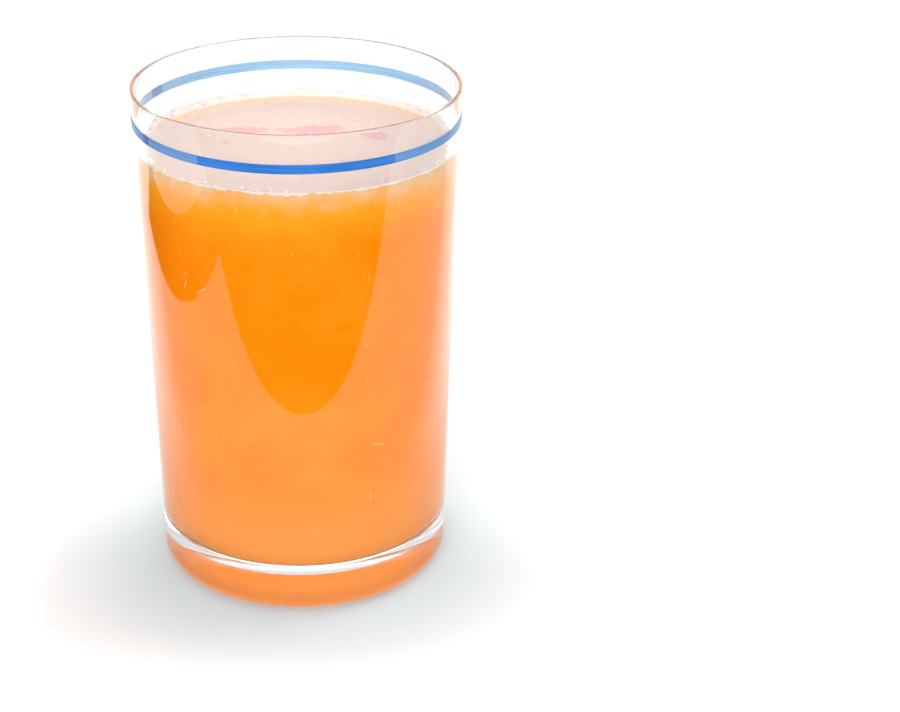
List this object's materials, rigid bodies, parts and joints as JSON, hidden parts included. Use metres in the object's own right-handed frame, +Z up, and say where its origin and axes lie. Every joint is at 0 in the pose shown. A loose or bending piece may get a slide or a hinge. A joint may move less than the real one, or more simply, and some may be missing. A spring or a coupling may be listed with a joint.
{
  "type": "glass of orange juice",
  "caption": "Tall tapered drinking glass with a thick foot and a thin blue stripe under the rim, filled with orange juice to just below the stripe.",
  "frame": {"origin": "centre of the foot, on the surface that the glass stands on", "axes": "+Z up along the glass's axis; the pictured side faces -Y"},
  "size_m": [0.0672, 0.0672, 0.106],
  "materials": {
    "glass": "clear, smooth, polished soda-lime glass",
    "juice": "cloudy orange liquid with fine pulp, wet surface with a pale film of froth",
    "enamel": "blue fired enamel, brushed on, slightly translucent"
  },
  "bodies": {
    "root": {"tumbler": "glass", "orange_juice": "juice", "enamel_stripe": "enamel"}
  },
  "joints": []
}
